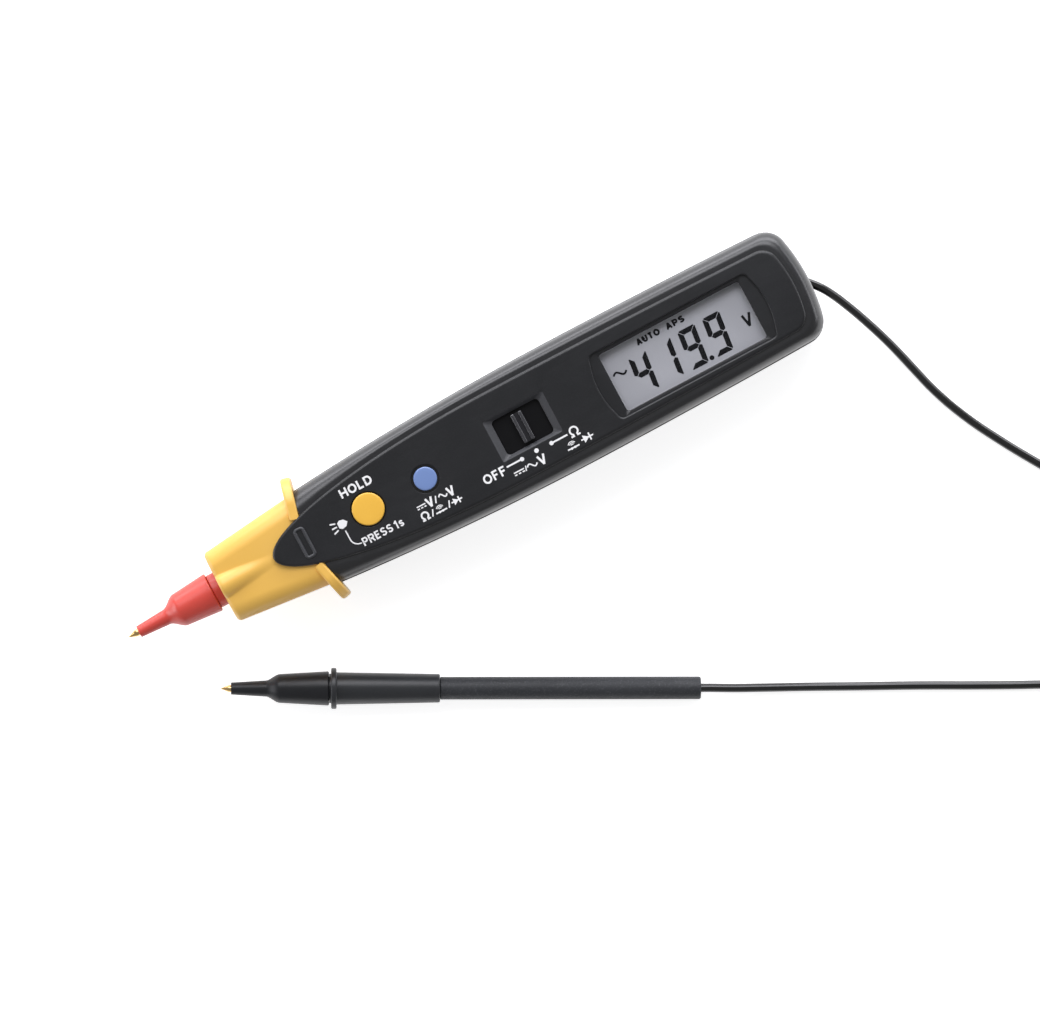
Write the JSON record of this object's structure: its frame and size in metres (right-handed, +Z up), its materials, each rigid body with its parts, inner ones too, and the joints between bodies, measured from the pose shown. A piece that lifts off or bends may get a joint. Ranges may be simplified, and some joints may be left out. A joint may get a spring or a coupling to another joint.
{
  "type": "pen multimeter",
  "caption": "Pen-shaped digital multimeter with a guarded nose, capped test pin, slide switch, two keys and a display, and a capped second probe on its lead.",
  "frame": {"origin": "on the flat back, midway between the test pin's point and the tail", "axes": "+X from the test pin to the tail, +Y to the left of a reader who has the pin on their left, +Z up through the display"},
  "size_m": [0.2341, 0.1364, 0.0265],
  "materials": {
    "black_shell": "fine grained moulding",
    "yellow_guard": "satin moulding",
    "red_plastic": "satin moulding",
    "gold_plate": "gold plated",
    "clear_pane": "clear polished pane",
    "lcd": "grey display glass",
    "lamp": "clear lens",
    "tinned": "tinned",
    "white_plastic": "plain moulding",
    "pink_rubber": "striped rubber",
    "circuit_board": "solder mask",
    "chip_black": "moulded package",
    "resistor_body": "lacquered",
    "yellow_key": "satin key",
    "blue_key": "satin key",
    "switch_body": "pressed tin cover",
    "plunger_black": "plain moulding",
    "knob_black": "satin slider",
    "spring_brass": "spring strip",
    "cell_can": "nickel plated can",
    "steel_screw": "zinc plated",
    "cord_sheath": "smooth sheath",
    "grommet_black": "soft grommet",
    "probe_black": "satin moulding",
    "probe_grain": "grained moulding",
    "cap_black": "satin cap"
  },
  "bodies": {
    "meter": {"front_case": "black_shell", "rear_case": "black_shell", "nose_guard": "yellow_guard", "tip_holder": "red_plastic", "test_pin": "gold_plate", "tip_contact": "spring_brass", "lamp_led": "lamp", "lamp_legs": "tinned", "display_window": "clear_pane", "lcd_glass": "lcd", "lcd_frame": "white_plastic", "zebra_strips": "pink_rubber", "main_board": "circuit_board", "meter_chip": "chip_black", "input_resistors": "resistor_body", "buzzer": "chip_black", "hold_switch": "switch_body", "select_switch": "switch_body", "lower_cell": "cell_can", "upper_cell": "cell_can", "cell_spring": "tinned", "cover_contact": "tinned", "side_contact": "tinned", "battery_cover": "black_shell", "cover_screw": "steel_screw", "case_screws": "steel_screw", "cord_grommet": "grommet_black", "inner_lead": "cord_sheath", "cord_tail": "cord_sheath", "cord_coil": "cord_sheath", "cord_probe": "cord_sheath", "probe_pin": "gold_plate", "probe_handle": "probe_black", "probe_ferrule": "tinned", "probe_barrel": "probe_grain", "probe_lead": "cord_sheath"},
    "hold_key": {"hold_button": "yellow_key", "hold_plunger": "plunger_black"},
    "select_key": {"select_button": "blue_key", "select_plunger": "plunger_black"},
    "slide_switch": {"switch_knob": "knob_black", "switch_wiper": "spring_brass"},
    "tip_cap": {"tip_cap": "red_plastic"},
    "probe_cap": {"probe_cap": "cap_black"}
  },
  "joints": [
    {"name": "hold_press", "type": "slide", "parent": "meter", "child": "hold_key", "axis": [0, 0, -1], "range_m": [0, 0.0007], "stiffness_N_per_m": 2500},
    {"name": "select_press", "type": "slide", "parent": "meter", "child": "select_key", "axis": [0, 0, -1], "range_m": [0, 0.0007], "stiffness_N_per_m": 2500},
    {"name": "mode_slide", "type": "slide", "parent": "meter", "child": "slide_switch", "axis": [1, 0, 0], "range_m": [-0.004, 0.004]},
    {"name": "tip_cap_pull", "type": "slide", "parent": "meter", "child": "tip_cap", "axis": [-1, 0, 0], "range_m": [0, 0.026]},
    {"name": "probe_cap_pull", "type": "slide", "parent": "meter", "child": "probe_cap", "axis": [-0.8827, 0.4693, 0.0254], "range_m": [0, 0.026]}
  ]
}
